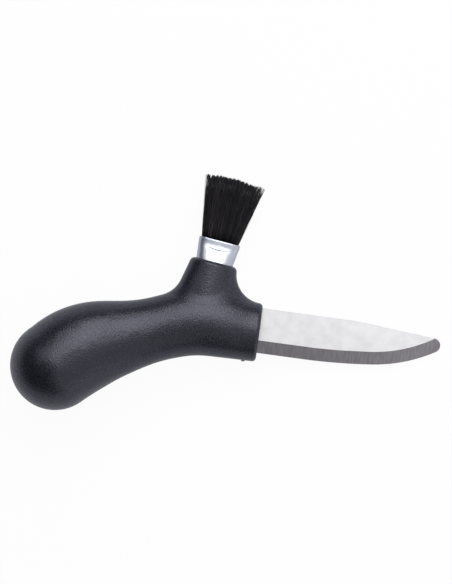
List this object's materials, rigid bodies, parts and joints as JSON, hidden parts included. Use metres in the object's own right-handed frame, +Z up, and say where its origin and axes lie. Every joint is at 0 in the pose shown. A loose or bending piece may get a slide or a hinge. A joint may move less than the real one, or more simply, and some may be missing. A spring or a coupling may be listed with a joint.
{
  "type": "mushroom knife",
  "caption": "Fixed-blade foraging knife with a short bevelled blade, a moulded handle that curves down to a round bulb, and a small flat brush standing on the handle's back.",
  "frame": {"origin": "centre of the footprint at the lowest point, with the knife lying on its side on its bulb and the nose of its handle", "axes": "+X along the blade towards its tip, +Y towards the brush, +Z up through the knife's thickness"},
  "size_m": [0.1644, 0.0994, 0.035],
  "materials": {
    "handle": "fine matte texture",
    "blade": "satin flats, bevels ground across",
    "ferrule": "bright rolled sheet",
    "bristles": "stiff dark filaments",
    "bristle_setting": "hard setting resin"
  },
  "bodies": {
    "root": {"blade": "blade", "handle": "handle", "ferrule": "ferrule", "bristles": "bristles", "bristle_setting": "bristle_setting"}
  },
  "joints": []
}
